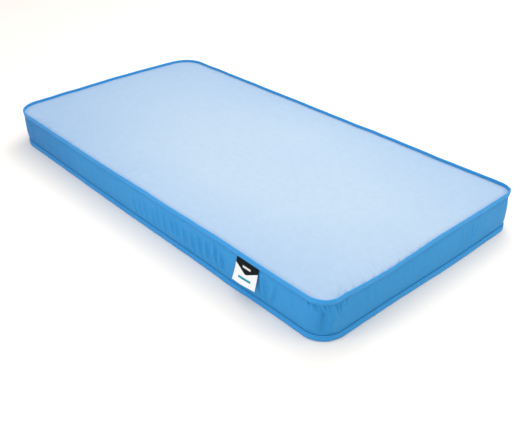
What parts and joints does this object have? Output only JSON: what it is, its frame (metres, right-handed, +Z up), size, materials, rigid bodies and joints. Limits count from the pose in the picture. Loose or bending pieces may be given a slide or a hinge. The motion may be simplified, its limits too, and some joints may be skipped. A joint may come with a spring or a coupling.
{
  "type": "pressure relief mattress",
  "caption": "Cot-bed sized foam mattress: layered foam core in a removable wipe-clean cover with bound seams that stand up as a lip, a hanging label and a rear zip.",
  "frame": {"origin": "on the floor, under the centre of the base panel", "axes": "+X along the length, towards the end that the closed zip slider is near; +Y to the rear, which has the zip, with the hanging label on the front; +Z up"},
  "size_m": [1.4, 0.7296, 0.114],
  "materials": {
    "panel_cloth": "coated knit, soft matt sheen, finely puckered at the seams",
    "base_cloth": "coated non-slip cloth, matt",
    "border_cloth": "smooth coated cloth with a slight sheen and drag wrinkles",
    "binding_tape": "folded binding tape, fine rib, slight sheen",
    "thread": "twisted sewing thread",
    "label_cloth": "woven satin label, dark upper field over white",
    "liner_knit": "thin knitted stocking",
    "comfort_foam": "fine open cell foam, matt",
    "support_foam": "open cell foam, matt",
    "zip_cloth": "woven zip tape",
    "zip_coil": "nylon coil, slight sheen",
    "zip_metal": "tumbled nickel plate"
  },
  "bodies": {
    "mattress": {"top_panel": "panel_cloth", "base_panel": "base_cloth", "border_band": "border_cloth", "zip_placket_upper": "border_cloth", "zip_placket_lower": "border_cloth", "top_binding": "binding_tape", "bottom_binding": "binding_tape", "top_binding_thread": "thread", "bottom_binding_thread": "thread", "zip_tape_upper": "zip_cloth", "zip_coil_upper": "zip_coil", "zip_top_stop_upper": "zip_metal", "zip_thread_upper": "thread", "zip_tape_lower": "zip_cloth", "zip_coil_lower": "zip_coil", "zip_top_stop_lower": "zip_metal", "zip_thread_lower": "thread", "zip_bottom_stop": "zip_metal", "inner_liner": "liner_knit", "comfort_foam": "comfort_foam", "support_foam": "support_foam"},
    "front_label": {"front_label": "label_cloth"},
    "care_label": {"care_label": "label_cloth"},
    "zip_slider": {"zip_slider": "zip_metal"},
    "zip_puller": {"zip_puller": "zip_metal"}
  },
  "joints": [
    {"name": "front_label_flap", "type": "hinge", "parent": "mattress", "child": "front_label", "pos_m": [0.4675, -0.3492, 0.097], "axis": [-1, 0, 0], "range_deg": [0, 125]},
    {"name": "care_label_flap", "type": "hinge", "parent": "mattress", "child": "care_label", "pos_m": [-0.536, 0.3492, 0.097], "axis": [1, 0, 0], "range_deg": [0, 125]},
    {"name": "zip_slide", "type": "slide", "parent": "mattress", "child": "zip_slider", "axis": [-1, 0, 0], "range_m": [0, 1.17]},
    {"name": "zip_puller_pivot", "type": "hinge", "parent": "zip_slider", "child": "zip_puller", "pos_m": [0.585, 0.3499, 0.0572], "axis": [0, 0, -1], "range_deg": [0, 170]}
  ]
}
